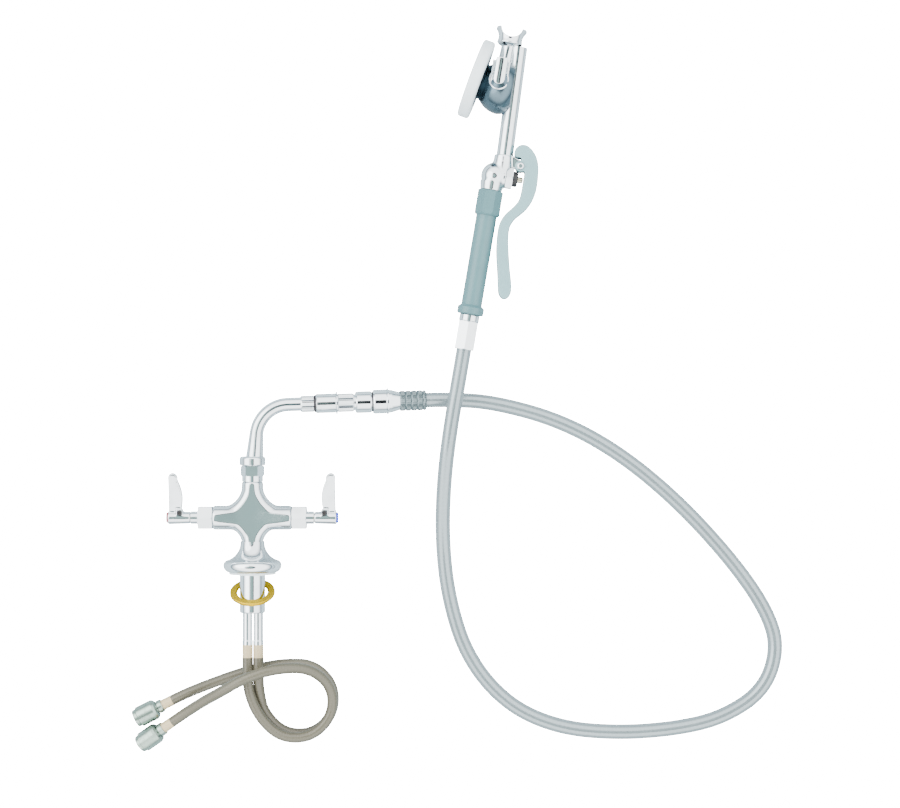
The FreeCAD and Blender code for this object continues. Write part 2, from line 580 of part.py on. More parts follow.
ear_slot = rod(7.4, V(pin_x, pin_y, -6.4 - body_gap), V(pin_x, pin_y, 6.4 + body_gap))
ear_slot = ear_slot.fuse(Part.makeBox(26.0, 20.0, 2 * (6.4 + body_gap), V(pin_x - 20.0, pin_y - 6.8, -6.4 - body_gap)))
trigger = trigger.cut(ear_slot)
trigger = trigger.cut(rod(2.5 + running_gap, V(pin_x, pin_y, -20), V(pin_x, pin_y, 20)))
trigger = trigger.cut(rod(neck_radius + body_gap, neck_start, neck_end))
keep("trigger_lever", held(clean(trigger)))
pin = rod(2.5, V(pin_x, pin_y, -lever_half_width - 0.4), V(pin_x, pin_y, lever_half_width + 0.4))
pin_heads = [turned([(0, 4.4), (1.4, 3.6, "arc"), (2.2, 1.6)], V(pin_x, pin_y, z), V(0, 0, s))
             for z, s in ((lever_half_width + body_gap, 1), (-lever_half_width - body_gap, -1))]
keep("trigger_pin", held(clean(pin.fuse(pin_heads))))

# ---------------------------------------------------------------- main hose
arm_end = swing_placement.multVec(ferrule_origin + arm_direction * ferrule_length)
handset_end = handset_placement.multVec(V(0, hose_end_y, 0))
arm_axis = swing_placement.Rotation.multVec(arm_direction)
wand_axis = handset_placement.Rotation.multVec(Y_AXIS)
hose_route = [
    arm_end,
    arm_end + arm_axis * 26.0,
    V(266.0, 189.0, table_z + 8.4),
    V(339.0, 169.0, table_z + 8.4),
    V(406.0, 132.5, table_z + 8.4),
    V(472.0, 77.5, table_z + 8.4),
    V(533.0, 10.5, table_z + 8.4),
    V(570.0, -44.0, table_z + 8.4),
    V(581.5, -85.0, table_z + 8.4),
    V(566.0, -131.0, table_z + 8.4),
    V(521.0, -161.0, table_z + 8.4),
    V(470.0, -173.5, table_z + 8.4),
    V(404.0, -178.5, table_z + 8.4),
    V(337.0, -172.5, table_z + 8.4),
    V(280.0, -146.5, table_z + 8.4),
    V(236.5, -95.0, table_z + 8.4),
    V(215.5, -29.0, table_z + 8.6),
    V(208.5, 37.0, table_z + 15.0),
    V(210.5, 103.0, table_z + 32.0),
    V(217.5, 160.0, table_z + 44.6),
    handset_end - wand_axis * 33.0,
    handset_end,
]
keep("main_hose", hose_tube("main_hose", hose_route, hose_radius))

# ---------------------------------------------------------------- supply lines
crimp_radius = 5.4
crimp_top_y = -34.0
crimp_end_y = -72.6
collar_end_y = -77.8
band_end_y = -91.9
end_band_length = 12.0
supply_nut_length = 27.0
supply_nut_radius = 11.5
supply_thread_radius = 8.3

nut_lead = 6.8            # from the end of the band to the rim of the nut
down = V(0, -1, 0)


def laid_nut(x, y, heading, pitch):
    """Base point and axis of a supply nut whose outer shell touches the table."""
    level = math.cos(math.radians(pitch))
    dip = math.sin(math.radians(pitch))
    out = V(heading[0], heading[1], 0).normalize() * level - Z_AXIS * dip
    height = supply_nut_radius * level + (nut_lead + supply_nut_length - 5.0) * dip
    return V(x, y, table_z + height), out


supply_lines = {
    "hot": {
        "exit_x": supply_left_x,
        "nut": laid_nut(-99.5, -171.5, (-0.815, -0.578), 10.0),
        "route": [V(-4.4, -131.0, -1.5), V(7.0, -158.5, -5.0), V(30.5, -182.0, -11.0), V(63.5, -182.0, -14.5),
                  V(87.0, -158.5, -14.5), V(87.5, -125.0, -8.5), V(63.0, -102.0, 6.5), V(25.0, -101.5, 22.4),
                  V(-9.0, -113.0, 22.4), V(-31.0, -126.5, 15.0), V(-54.0, -140.0, 2.0)],
    },
    "cold": {
        "exit_x": supply_right_x,
        "nut": laid_nut(-101.5, -147.0, (-0.892, -0.452), 0.0),
        "route": [V(6.6, -130.0, -8.0), V(11.0, -155.5, -18.5), V(33.5, -179.5, -26.0), V(66.0, -179.5, -26.3),
                  V(88.0, -157.0, -26.3), V(88.0, -125.0, -26.3), V(65.5, -102.5, -26.3), V(34.0, -101.5, -26.3),
                  V(5.0, -106.5, -26.3), V(-20.0, -113.5, -26.3), V(-48.0, -123.5, -25.0)],
    },
}

for name, line in supply_lines.items():
    x = line["exit_x"]
    tail = rod(3.8, V(x, 5.8, 0), V(x, crimp_top_y, 0))
    crimp = turned([(0, crimp_radius - 0.6), (0.8, crimp_radius), (crimp_top_y - crimp_end_y, crimp_radius)],
                   V(x, crimp_top_y, 0), down)
    collar = turned([(0, crimp_radius), (0.8, supply_radius + 0.1), (crimp_end_y - collar_end_y, supply_radius + 0.1)],
                    V(x, crimp_end_y, 0), down)
    keep(name + "_supply_crimp", clean(tail.fuse([crimp, collar])))
    keep(name + "_supply_band", rod(supply_radius + 0.1, V(x, collar_end_y, 0), V(x, band_end_y, 0)))
    base, out = line["nut"]
    band_start = base - out * end_band_length
    keep(name + "_end_band", rod(supply_radius + 0.3, band_start, base))
    keep(name + "_tailpiece", turned([(0, 6.8), (1.0, 7.4), (5.0, 7.4), (6.0, 6.0), (11.0, 6.0), (11.0, 7.4),
                                      (14.0, 7.4), (17.0, 4.6)], base, out, bore=3.6))
    nut_foot = base + out * nut_lead
    shell = turned([(0, 8.2), (1.5, 10.2), (4.0, supply_nut_radius), (supply_nut_length - 5.0, supply_nut_radius),
                    (supply_nut_length - 4.0, 9.9), (supply_nut_length - 0.8, 9.9), (supply_nut_length, 9.3)],
                   nut_foot, out)
    shell = shell.cut(rod(6.0 + running_gap, nut_foot - out, nut_foot + out * 5))
    shell = shell.cut(rod(7.4 + running_gap, nut_foot + out * 4.0, nut_foot + out * 16))
    shell = shell.cut(rod(supply_thread_radius, nut_foot + out * 14.0, nut_foot + out * (supply_nut_length + 1)))
    keep(name + "_supply_nut", clean(shell))
    route = [V(x, band_end_y, 0), V(x, band_end_y - 18.0, 0)] + line["route"] + [band_start - out * 16.0, band_start]
    keep(name + "_supply_hose", hose_tube(name + "_supply_hose", route, supply_radius))

# ---------------------------------------------------------------- export
os.makedirs("parts", exist_ok=True)
for name, shape in parts.items():
    if not shape.isValid():
        print("not valid:", name)
    shape.exportStep("parts/" + name + ".step")
print(len(parts), "nodes")
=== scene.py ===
"""Pet bath sprayer set laid flat on a table: deck faucet, hose and hand sprayer.

Everything is in metres, in the frame of the CAD model: +Y runs from the deck seat
towards the spout, +Z up from the table.
"""
import json
import math

import bpy
from mathutils import Matrix, Vector

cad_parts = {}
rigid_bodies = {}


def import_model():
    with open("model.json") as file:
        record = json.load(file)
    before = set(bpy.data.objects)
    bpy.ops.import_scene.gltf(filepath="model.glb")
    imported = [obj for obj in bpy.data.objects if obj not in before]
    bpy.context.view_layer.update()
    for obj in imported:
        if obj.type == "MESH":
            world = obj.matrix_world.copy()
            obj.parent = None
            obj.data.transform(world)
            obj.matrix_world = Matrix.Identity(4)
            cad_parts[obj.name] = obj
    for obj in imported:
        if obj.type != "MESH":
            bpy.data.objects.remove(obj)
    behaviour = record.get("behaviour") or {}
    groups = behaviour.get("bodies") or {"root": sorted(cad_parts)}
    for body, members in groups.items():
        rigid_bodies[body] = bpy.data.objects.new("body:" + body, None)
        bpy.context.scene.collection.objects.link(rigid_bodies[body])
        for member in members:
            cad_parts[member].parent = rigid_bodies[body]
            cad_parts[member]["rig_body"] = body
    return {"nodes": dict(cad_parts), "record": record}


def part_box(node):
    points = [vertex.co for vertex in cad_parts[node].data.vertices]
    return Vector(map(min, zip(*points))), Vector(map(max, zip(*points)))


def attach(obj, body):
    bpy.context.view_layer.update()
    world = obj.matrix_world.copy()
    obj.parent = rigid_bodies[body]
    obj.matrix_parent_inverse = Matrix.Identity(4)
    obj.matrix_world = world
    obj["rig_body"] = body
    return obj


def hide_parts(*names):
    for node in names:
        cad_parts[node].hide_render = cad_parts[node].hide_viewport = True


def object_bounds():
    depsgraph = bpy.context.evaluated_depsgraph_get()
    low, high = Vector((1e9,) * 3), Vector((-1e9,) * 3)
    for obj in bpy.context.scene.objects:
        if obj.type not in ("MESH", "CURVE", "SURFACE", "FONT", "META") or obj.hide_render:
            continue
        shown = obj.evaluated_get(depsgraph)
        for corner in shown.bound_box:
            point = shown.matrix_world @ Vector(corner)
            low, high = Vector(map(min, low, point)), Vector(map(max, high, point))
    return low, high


bl_info = {
    "name": "Pet Bath Sprayer Set",
    "version": (1, 0, 0),
    "blender": (4, 5, 0),
    "location": "3D View > Sidebar > Bath Sprayer",
    "description": "Builds the finished look of a deck faucet with its hose and hand sprayer",
    "category": "Object",
}

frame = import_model()
NODES = frame["nodes"]
BODY_OF = {node: NODES[node]["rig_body"] for node in NODES}
CAD_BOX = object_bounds()
MM = 0.001
TABLE_Z = CAD_BOX[0].z


# The way to the dark opening in the surround: overhead, leaning about 5 degrees towards -X and 3 towards -Y.
OPENING_CENTRE = (-0.085, -0.045, 0.9954)
FAUCET_CENTRE_Y = 0.062                      # where the two handles' axis crosses the body
WASHER_CENTRE = Vector((0.0, -0.020, 0.0))
WASHER_LEAN = math.radians(30.0)
BLADE_FOOT, BLADE_REACH = 0.072, 0.041       # where a handle's blade starts, and how far it reaches
BLADE_OUTER, BLADE_WIDTH = 0.0920, 0.0130    # its outer edge from the body's middle, and its width
BLADE_SWELL = 0.0034


# ------------------------------------------------------------------ colours
def linear(code):
    """sRGB hex code as linear red, green, blue and alpha."""
    levels = [int(code[i:i + 2], 16) / 255 for i in (1, 3, 5)]
    return tuple(c / 12.92 if c <= 0.04045 else ((c + 0.055) / 1.055) ** 2.4 for c in levels) + (1.0,)


def colour_setting(name, description, code):
    """A colour that a user may change, with its default as an sRGB hex code."""
    return bpy.props.FloatVectorProperty(
        name=name, description=description, subtype="COLOR", size=4, min=0.0, max=1.0, default=linear(code))


class SprayerSizes(bpy.types.PropertyGroup):
    """Sizes of the looks around the CAD model."""
    hose_diameter: bpy.props.FloatProperty(
        name="Hose diameter", description="Outside diameter of the main hose",
        default=0.0165, min=0.008, max=0.03, unit="LENGTH", subtype="DISTANCE")
    supply_diameter: bpy.props.FloatProperty(
        name="Supply line diameter", description="Outside diameter of the two supply lines",
        default=0.0117, min=0.006, max=0.02, unit="LENGTH", subtype="DISTANCE")
    thread_pitch: bpy.props.FloatProperty(
        name="Shank thread pitch", description="Distance between the crests of the shank thread",
        default=0.0018, min=0.001, max=0.004, unit="LENGTH", subtype="DISTANCE")
    thread_depth: bpy.props.FloatProperty(
        name="Shank thread depth", description="Depth of the shank thread",
        default=0.00004, min=0.00001, max=0.001, unit="LENGTH", subtype="DISTANCE")
    camera_height: bpy.props.FloatProperty(
        name="Camera height", description="Height of the camera above the middle of the faucet body",
        default=2.3375, min=1.0, max=5.0, unit="LENGTH", subtype="DISTANCE")
    dome_light: bpy.props.FloatProperty(
        name="Surround brightness", description="Strength of the white surround", default=4.6, min=0.0, max=20.0)
    table_glow: bpy.props.FloatProperty(
        name="Table glow", description="Strength of the plain white seen on and beyond the table",
        default=30.0, min=0.0, max=100.0)
    key_light: bpy.props.FloatProperty(
        name="Key light power", description="Power of the soft light from the left in watts",
        default=45.0, min=0.0, max=1000.0)


class SprayerColours(bpy.types.PropertyGroup):
    """Colours of the finishes."""
    chrome: colour_setting("Chrome", "Chrome-plated brass", "#dfe5e8")
    # The cup's colour is a darker chrome: painted shade for the shadow inside the spray head.
    painted_shade_chrome: colour_setting("Dark chrome", "Shaded chrome cup of the spray head", "#54666f")
    steel: colour_setting("Steel", "Crimped and turned stainless steel", "#6f7d80")
    brass: colour_setting("Brass", "Lacquered brass of the loose washer", "#c6a400")
    rubber: colour_setting("Black rubber", "Seals and gaskets", "#1a1d1f")
    grip: colour_setting("Grip", "Grey plastisol grip", "#4d757a")
    lever: colour_setting("Lever", "Grey coating on the squeeze lever", "#80a6ab")
    bumper: colour_setting("Bumper", "Pale rubber ring round the spray face", "#e3eef2")
    hose: colour_setting("Main hose", "Grey vinyl over braid", "#8b999d")
    supply: colour_setting("Supply line", "Taupe braid of the supply lines", "#5b5848")
    band: colour_setting("Band", "Cream bands on the supply lines", "#bfae86")
    nickel: colour_setting("Nickel", "Tumbled nickel plate of the end nuts", "#94a59b")
    hot_index: colour_setting("Hot button", "Index button of the hot handle", "#8a1f22")
    cold_index: colour_setting("Cold button", "Index button of the cold handle", "#0b35c0")
    floor: colour_setting("Floor", "Matt pale grey table", "#a9b7bd")


# ------------------------------------------------------------------ materials
def add(tree, kind, inputs=None, **settings):
    """Adds a node with its settings; inputs holds values, or the sockets that feed it."""
    made = tree.nodes.new(kind)
    for name, value in settings.items():
        setattr(made, name, value)
    for name, value in (inputs or {}).items():
        if isinstance(value, bpy.types.NodeSocket):
            tree.links.new(value, made.inputs[name])
        else:
            made.inputs[name].default_value = value
    return made


def start_material(name):
    """An empty material with its output; returns the material, its tree and the object coordinates."""
    material = bpy.data.materials.new(name)
    material.use_nodes = True
    tree = material.node_tree
    tree.nodes.clear()
    place = add(tree, "ShaderNodeTexCoord").outputs["Object"]
    return material, tree, place


def finish_material(material, shader):
    """Joins the shader to the material's output."""
    tree = material.node_tree
    add(tree, "ShaderNodeOutputMaterial", {"Surface": shader.outputs["BSDF"]})
    return material


MIX_FACTOR, MIX_A, MIX_B, MIX_COLOUR = 0, 6, 7, 2


def plated(name, colour, roughness, ripple, wear_scale, wear_depth=0.25, pit_scale=1100.0, pits=0.02):
    """Polished plate: mirror bright, with a faint ripple left by the buffing wheel and duller patches of handling."""
    material, tree, place = start_material(name)
    wear = add(tree, "ShaderNodeTexNoise", {"Vector": place, "Scale": wear_scale, "Detail": 4.0})
    rough = add(tree, "ShaderNodeMapRange", {
        "Value": wear.outputs["Fac"], "From Min": 0.35, "From Max": 0.75,
        "To Min": roughness, "To Max": roughness + 0.09})
    duller = tuple(c * (1.0 - wear_depth) for c in colour[:3]) + (1.0,)
    tint = add(tree, "ShaderNodeMix", {
        MIX_FACTOR: add(tree, "ShaderNodeMapRange", {
            "Value": wear.outputs["Fac"], "From Min": 0.5, "From Max": 0.9}).outputs["Result"],
        MIX_A: tuple(colour), MIX_B: duller}, data_type="RGBA")
    buffing = add(tree, "ShaderNodeTexNoise", {"Vector": place, "Scale": 90.0, "Detail": 1.0})
    waves = add(tree, "ShaderNodeBump", {
        "Height": buffing.outputs["Fac"], "Strength": 1.0, "Distance": ripple})
    grain = add(tree, "ShaderNodeTexNoise", {"Vector": place, "Scale": pit_scale, "Detail": 2.0})
    surface = add(tree, "ShaderNodeBump", {
        "Height": grain.outputs["Fac"], "Strength": pits, "Distance": 0.0002, "Normal": waves.outputs["Normal"]})
    shader = add(tree, "ShaderNodeBsdfPrincipled", {
        "Base Color": tint.outputs[MIX_COLOUR], "Roughness": rough.outputs["Result"],
        "Normal": surface.outputs["Normal"], "Metallic": 1.0})
    return finish_material(material, shader)


def moulded(name, colour, roughness, grain_mm, grain_depth, mottle=0.08, coat=0.0):
    """Moulded or dipped polymer: even colour with slight clouding, and a fine orange-peel texture."""
    material, tree, place = start_material(name)
    cloud = add(tree, "ShaderNodeTexNoise", {"Vector": place, "Scale": 55.0, "Detail": 5.0})
    deeper = tuple(c * (1.0 - 2.0 * mottle) for c in colour[:3]) + (1.0,)
    tint = add(tree, "ShaderNodeMix", {
        MIX_FACTOR: cloud.outputs["Fac"], MIX_A: tuple(colour), MIX_B: deeper}, data_type="RGBA")
    peel = add(tree, "ShaderNodeTexNoise", {"Vector": place, "Scale": 1.0 / (grain_mm * MM), "Detail": 3.0})
    rough = add(tree, "ShaderNodeMapRange", {
        "Value": peel.outputs["Fac"], "To Min": roughness - 0.06, "To Max": roughness + 0.1})
    surface = add(tree, "ShaderNodeBump", {
        "Height": peel.outputs["Fac"], "Strength": 0.6, "Distance": grain_depth * MM})
    shader = add(tree, "ShaderNodeBsdfPrincipled", {
        "Base Color": tint.outputs[MIX_COLOUR], "Roughness": rough.outputs["Result"],
        "Normal": surface.outputs["Normal"], "Coat Weight": coat, "Coat Roughness": 0.2, "IOR": 1.5})
    return finish_material(material, shader)


def braided(name, colour, shade, turns, lay, metallic, roughness, relief, coat):
    """Braided hose: two sets of strands wound left and right, drawn on the hose's own length and girth.

    The UV map runs in metres along the hose and in whole turns round it.
    """
    material, tree, _ = start_material(name)
    along = add(tree, "ShaderNodeSeparateXYZ", {
        "Vector": add(tree, "ShaderNodeUVMap", uv_map="hose_uv").outputs["UV"]})
    strands = []
    for hand in (-1.0, 1.0):
        wound = add(tree, "ShaderNodeMath", {0: along.outputs["X"], 1: hand / lay}, operation="MULTIPLY")
        phase = add(tree, "ShaderNodeMath", {
            0: along.outputs["Y"], 1: turns, 2: wound.outputs["Value"]}, operation="MULTIPLY_ADD")
        turned = add(tree, "ShaderNodeMath", {0: phase.outputs["Value"], 1: math.tau}, operation="MULTIPLY")
        strands.append(add(tree, "ShaderNodeMath", {0: turned.outputs["Value"]}, operation="SINE"))
    weave = add(tree, "ShaderNodeMath", {
        0: strands[0].outputs["Value"], 1: strands[1].outputs["Value"]}, operation="MULTIPLY")
    level = add(tree, "ShaderNodeMapRange", {"Value": weave.outputs["Value"], "From Min": -1.0, "From Max": 1.0})
    dirt = add(tree, "ShaderNodeTexNoise", {
        "Vector": add(tree, "ShaderNodeTexCoord").outputs["Object"], "Scale": 30.0, "Detail": 5.0})
    # The colour goes darker where the weave lies low: painted shade in the hollows between strands. The dirt noise
    # adds random tone.
    blend = add(tree, "ShaderNodeMath", {
        0: level.outputs["Result"], 1: 0.55, 2: add(tree, "ShaderNodeMath", {
            0: dirt.outputs["Fac"], 1: 0.45}, operation="MULTIPLY").outputs["Value"]}, operation="MULTIPLY_ADD")
    dark = tuple(c * shade for c in colour[:3]) + (1.0,)
    tint = add(tree, "ShaderNodeMix", {
        MIX_FACTOR: blend.outputs["Value"], MIX_A: dark, MIX_B: tuple(colour)}, data_type="RGBA")
    surface = add(tree, "ShaderNodeBump", {
        "Height": level.outputs["Result"], "Strength": 1.0, "Distance": relief})
    rough = add(tree, "ShaderNodeMapRange", {
        "Value": dirt.outputs["Fac"], "To Min": roughness - 0.05, "To Max": roughness + 0.08})
    shader = add(tree, "ShaderNodeBsdfPrincipled", {
        "Base Color": tint.outputs[MIX_COLOUR], "Roughness": rough.outputs["Result"],
        "Normal": surface.outputs["Normal"], "Metallic": metallic, "Coat Weight": coat, "Coat Roughness": 0.12})
    return finish_material(material, shader)


def make_finishes(colours):
    """Every finish of the set, by the name of the record's slot."""
    return {
        # Chrome-plated brass, buffed: mirror bright, so it shows the white surround and the dark opening overhead.
        "polished_chrome": plated("chrome_plated_brass_buffed", colours.chrome, 0.05, 0.00004, 40.0),
        # Chrome cup inside the spray head: the same plate, with its colour darkened as painted shade for the shadow
        # inside the head, and duller from water marks.
        "chrome_with_painted_shade": plated("chrome_plated_cup_painted_shade_and_water_marks", colours.painted_shade_chrome, 0.2, 0.00006, 120.0, 0.3),
        # Stainless steel, crimped and knurled: grey, speckled, with broken highlights.
        "crimped_steel": plated("stainless_steel_crimped", colours.steel, 0.26, 0.00008, 420.0, 0.45, 900.0, 0.35),
        # Plain machined brass of the valve's stem, nickel-washed and pale.
        "valve_brass": plated("machined_brass_nickel_washed", linear("#c9c2a8"), 0.2, 0.00002, 160.0),
        # Spring wire, drawn and polished.
        "spring_steel": plated("spring_steel_drawn", linear("#a9b0b4"), 0.18, 0.00001, 300.0),
        # Brass washer, stamped and lacquered: deep yellow with duller patches under the lacquer.
        "lacquered_brass": plated("brass_stamped_lacquered", colours.brass, 0.42, 0.00005, 180.0, 0.4),
        # Nitrile rubber, moulded: black and matt.
        "black_rubber": moulded("nitrile_rubber_moulded", colours.rubber, 0.55, 0.8, 0.03, 0.15),
        # ABS index buttons, injection moulded: glossy and evenly coloured.
        "red_index": moulded("abs_moulded_red", colours.hot_index, 0.4, 1.5, 0.01, 0.05),
        "blue_index": moulded("abs_moulded_blue", colours.cold_index, 0.4, 1.5, 0.01, 0.05),
        # Plastisol grip, dipped: satin, slightly clouded, with an orange-peel skin.
        "grey_grip": moulded("plastisol_dipped_grey", colours.grip, 0.42, 1.6, 0.05, 0.08, 0.15),
        # Cast lever with a baked coating: satin with soft highlights.
        "grey_lever": moulded("cast_lever_baked_coating", colours.lever, 0.36, 2.4, 0.06, 0.07, 0.2),
        # Thermoplastic rubber bumper, moulded: pale and matt.
        "grey_bumper": moulded("rubber_bumper_moulded", colours.bumper, 0.5, 1.2, 0.04, 0.05),
        # Stainless spray plate, stamped.
        "spray_steel": plated("stainless_steel_stamped", linear("#c4cdd1"), 0.22, 0.00003, 200.0),
        # Clear vinyl over a steel braid: grey and half metallic, palest along the top and darker at its edges.
        # The strands are drawn about 1.8 mm wide, far coarser than a real braid, so that the weave shows.
        "hose_vinyl": braided("vinyl_over_steel_braid", colours.hose, 0.86, 14.0, 0.009, 0.55, 0.22, 0.00003, 0.8),
        # Nylon braid of the supply lines: taupe and satin. Its strands too are drawn about 1.8 mm wide, too coarse.
        "supply_braid": braided("nylon_braid_taupe", colours.supply, 0.75, 10.0, 0.007, 0.15, 0.4, 0.00005, 0.2),
        # Cream heat-shrink bands: smooth and slightly waxy.
        "cream_band": moulded("heat_shrink_cream", colours.band, 0.4, 1.8, 0.02, 0.06, 0.2),
        # Nickel-plated nuts, tumbled: mottled and soft.
        "nickel_nut": plated("nickel_plate_tumbled", colours.nickel, 0.24, 0.0001, 260.0, 0.4, 700.0, 0.2),
    }


FINISHES = {}


def dress(piece, slot_name, finish_name=None):
    """Gives a piece its finish, in place of whatever it had."""
    piece.data.materials.clear()
    piece.data.materials.append(FINISHES[finish_name or slot_name])


# ------------------------------------------------------------------ modelling
def deselect_all():
    """Leaves nothing selected."""
    if bpy.context.object and bpy.context.object.mode != "OBJECT":
        bpy.ops.object.mode_set(mode="OBJECT")
    bpy.ops.object.select_all(action="DESELECT")


def pick(piece):
    """Selects one piece and makes it the active one."""
    deselect_all()
    piece.select_set(True)
    bpy.context.view_layer.objects.active = piece


def settle(piece, slot_name, *nodes, body=None, angle=None):
    """Finishes a piece: shading, material slot and the body it moves with, that of its CAD nodes if it has any."""
    pick(piece)
    bpy.ops.object.transform_apply(location=True, rotation=True, scale=True)
    if angle is None:
        bpy.ops.object.shade_smooth()
    else:
        bpy.ops.object.shade_smooth_by_angle(angle=math.radians(angle))
    dress(piece, slot_name)
    if nodes:
        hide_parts(*nodes)
    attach(piece, body or BODY_OF[nodes[0]])


def ring_hole(piece, origin, axis, bore):
    """Turns the two end discs of a round piece into one open bore."""
    pick(piece)
    bpy.ops.object.mode_set(mode="EDIT")
    bpy.ops.mesh.select_mode(type="FACE")
    bpy.ops.mesh.select_all(action="DESELECT")
    bpy.ops.object.mode_set(mode="OBJECT")
    for face in piece.data.polygons:
        offset = face.center - origin
        face.select = (offset - Vector(axis) * offset.dot(axis)).length < bore * 0.5
    bpy.ops.object.mode_set(mode="EDIT")
    bpy.ops.mesh.bridge_edge_loops()
    bpy.ops.object.mode_set(mode="OBJECT")
    face_outwards(piece)


def face_outwards(piece):
    """Merges doubled points and turns every face outwards."""
    pick(piece)
    bpy.ops.object.mode_set(mode="EDIT")
    bpy.ops.mesh.select_all(action="SELECT")
    bpy.ops.mesh.remove_doubles(threshold=1e-6)
    bpy.ops.mesh.normals_make_consistent(inside=False)
    bpy.ops.object.mode_set(mode="OBJECT")


def turned_piece(name, stations, origin, axis, sides=64):
    """A round piece drawn up from a disc. stations are (height, radius) in metres along the axis."""
    deselect_all()
    start, radius = stations[0]
    bpy.ops.mesh.primitive_circle_add(vertices=sides, radius=radius, fill_type="NGON", location=(0, 0, start))
    piece = bpy.context.object
    piece.name = name
    bpy.ops.object.mode_set(mode="EDIT")
    bpy.ops.mesh.select_all(action="SELECT")
    for (low, was), (high, now) in zip(stations, stations[1:]):
        bpy.ops.mesh.extrude_region_move(TRANSFORM_OT_translate={"value": (0, 0, high - low)})
        bpy.ops.transform.resize(value=(now / was, now / was, 1.0), center_override=(0, 0, high))
    bpy.ops.object.mode_set(mode="OBJECT")
    bpy.ops.object.transform_apply(location=True, rotation=True, scale=True)
    turn = Vector((0, 0, 1)).rotation_difference(Vector(axis)).to_matrix().to_4x4()
    piece.data.transform(Matrix.Translation(origin) @ turn)
    face_outwards(piece)
    return piece


def rounded_copy(name, node, voxel, rounds):
    """A copy of a CAD node with its edges and inner corners rounded off, as on a casting."""
    piece = bpy.data.objects.new(name, NODES[node].data.copy())
    bpy.context.scene.collection.objects.link(piece)
    face_outwards(piece)
    skin = piece.modifiers.new("skin", "REMESH")
    skin.mode = "VOXEL"
    skin.voxel_size = voxel
    soften = piece.modifiers.new("soften", "SMOOTH")
    soften.factor = 0.5
    soften.iterations = rounds
    for modifier in ("skin", "soften"):
        bpy.ops.object.modifier_apply(modifier=modifier)
    return piece


def span(node, origin, axis):
    """Where a round CAD node starts and ends along an axis, and its largest radius, in metres."""
    offsets = [v.co - origin for v in NODES[node].data.vertices]
    heights = [offset.dot(axis) for offset in offsets]
    radius = max((offset - axis * height).length for offset, height in zip(offsets, heights))
    return min(heights), max(heights), radius


# ------------------------------------------------------------------ hoses
ARM_END = Vector((190.40, 191.29, -20.75)) * MM
ARM_AXIS = Vector((0.993624, 0.031411, -0.108288)).normalized()
ARM_FOOT = ARM_END - ARM_AXIS * 0.1526
WAND_FOOT = Vector((239.0, 284.9, 12.0)) * MM
WAND_AXIS = Vector((0.166769, 0.985996, 0.0)).normalized()
SWIVEL_END = WAND_FOOT - WAND_AXIS * 0.03865
HOSE_LIFT = 8.4 * MM + TABLE_Z
MAIN_HOSE_ROUTE = [
    ARM_END,
    ARM_END + ARM_AXIS * 0.026,
    Vector((0.2660, 0.1890, HOSE_LIFT)),
    Vector((0.3390, 0.1690, HOSE_LIFT)),
    Vector((0.4060, 0.1325, HOSE_LIFT)),
    Vector((0.4720, 0.0775, HOSE_LIFT)),
    Vector((0.5330, 0.0105, HOSE_LIFT)),
    Vector((0.5700, -0.0440, HOSE_LIFT)),
    Vector((0.5815, -0.0850, HOSE_LIFT)),
    Vector((0.5660, -0.1310, HOSE_LIFT)),
    Vector((0.5210, -0.1610, HOSE_LIFT)),
    Vector((0.4700, -0.1735, HOSE_LIFT)),
    Vector((0.4040, -0.1785, HOSE_LIFT)),
    Vector((0.3370, -0.1725, HOSE_LIFT)),
    Vector((0.2800, -0.1465, HOSE_LIFT)),
    Vector((0.2365, -0.0950, HOSE_LIFT)),
    Vector((0.2155, -0.0290, HOSE_LIFT + 0.0002)),
    Vector((0.2085, 0.0370, TABLE_Z + 0.0150)),
    Vector((0.2105, 0.1030, TABLE_Z + 0.0320)),
    Vector((0.2175, 0.1600, TABLE_Z + 0.0446)),
    SWIVEL_END - WAND_AXIS * 0.033,
    SWIVEL_END,
]
SUPPLY_LINES = {
    "hot": {
        "length": 0.411,
        "route": [
            (-5.4, -91.9, 0.0), (-5.4, -109.9, 0.0), (-4.4, -131.0, -1.5), (7.0, -158.5, -5.0),
            (30.5, -182.0, -11.0), (63.5, -182.0, -14.5), (87.0, -158.5, -14.5), (87.5, -125.0, -8.5),
            (63.0, -102.0, 6.5), (25.0, -101.5, 22.4), (-9.0, -113.0, 22.4), (-31.0, -126.5, 15.0),
            (-54.0, -140.0, 2.0), (-77.007, -155.549, -10.812), (-89.860, -164.664, -13.590)],
    },
    "cold": {
        "length": 0.384,
        "route": [
            (6.4, -91.9, 0.0), (6.4, -109.9, 0.0), (6.6, -130.0, -8.0), (11.0, -155.5, -18.5),
            (33.5, -179.5, -26.0), (66.0, -179.5, -26.3), (88.0, -157.0, -26.3), (88.0, -125.0, -26.3),
            (65.5, -102.5, -26.3), (34.0, -101.5, -26.3), (5.0, -106.5, -26.3), (-20.0, -113.5, -26.3),
            (-48.0, -123.5, -25.0), (-76.524, -134.344, -20.5), (-90.796, -141.576, -20.5)],
    },
}


def lie_of(name, route):
    """Points along the smooth line that a hose lies on, read from a NURBS spline over its route."""
    curve = bpy.data.curves.new(name + "_line", "CURVE")
    curve.dimensions = "3D"
    spline = curve.splines.new("NURBS")
    spline.points.add(len(route) - 1)
    for point, place in zip(spline.points, route):
        point.co = (*place, 1.0)
    spline.order_u = 3
    spline.use_endpoint_u = True
    spline.resolution_u = 24
    holder = bpy.data.objects.new(name + "_line", curve)
    bpy.context.scene.collection.objects.link(holder)
    bpy.context.view_layer.update()
    line = bpy.data.meshes.new_from_object(holder)
    points = [v.co.copy() for v in line.vertices]
    bpy.data.objects.remove(holder)
    return points


